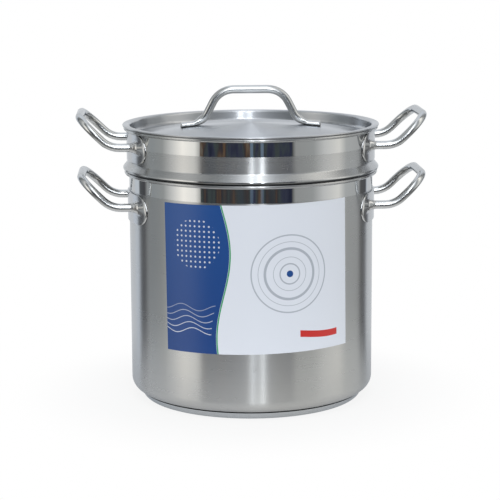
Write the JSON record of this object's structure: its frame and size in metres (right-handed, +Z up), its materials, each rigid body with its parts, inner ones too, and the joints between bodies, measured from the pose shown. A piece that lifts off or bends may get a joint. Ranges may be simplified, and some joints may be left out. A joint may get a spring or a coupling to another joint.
{
  "type": "pasta pot with strainer insert",
  "caption": "Tall stainless steel stockpot with a perforated lift-out strainer insert, a dished lid, bent rod handles and a clad induction base.",
  "frame": {"origin": "middle of the underside of the base, on the surface the pot stands on", "axes": "+Z up along the pot's axis, +X towards the right-hand handles seen from the label, -Y towards the label"},
  "size_m": [0.4258, 0.3146, 0.3855],
  "materials": {
    "satin_steel": "satin brushed round the wall, with a mirror band under the rim",
    "insert_steel": "mirror band over a satin band on the collar, satin basket",
    "lid_steel": "satin dome with fine scuffs, polished flange",
    "base_steel": "fine turned",
    "core_aluminium": "raw",
    "polished_rod": "polished",
    "polished_plate": "polished",
    "label_paper": null
  },
  "bodies": {
    "pot": {"pot_shell": "satin_steel", "base_core": "core_aluminium", "base_cap": "base_steel", "pot_handle_left": "polished_rod", "pot_handle_right": "polished_rod", "pot_handle_plate_left": "polished_plate", "pot_handle_plate_right": "polished_plate", "label": "label_paper"},
    "insert": {"insert_basket": "insert_steel", "insert_handle_left": "polished_rod", "insert_handle_right": "polished_rod", "insert_handle_plate_left": "polished_plate", "insert_handle_plate_right": "polished_plate"},
    "lid": {"lid_cover": "lid_steel", "lid_handle": "polished_rod"}
  },
  "joints": [
    {"name": "insert_lift", "type": "slide", "parent": "pot", "child": "insert", "axis": [0, 0, 1], "range_m": [0, 0.24]},
    {"name": "lid_lift", "type": "slide", "parent": "insert", "child": "lid", "axis": [0, 0, 1], "range_m": [0, 0.1]}
  ]
}
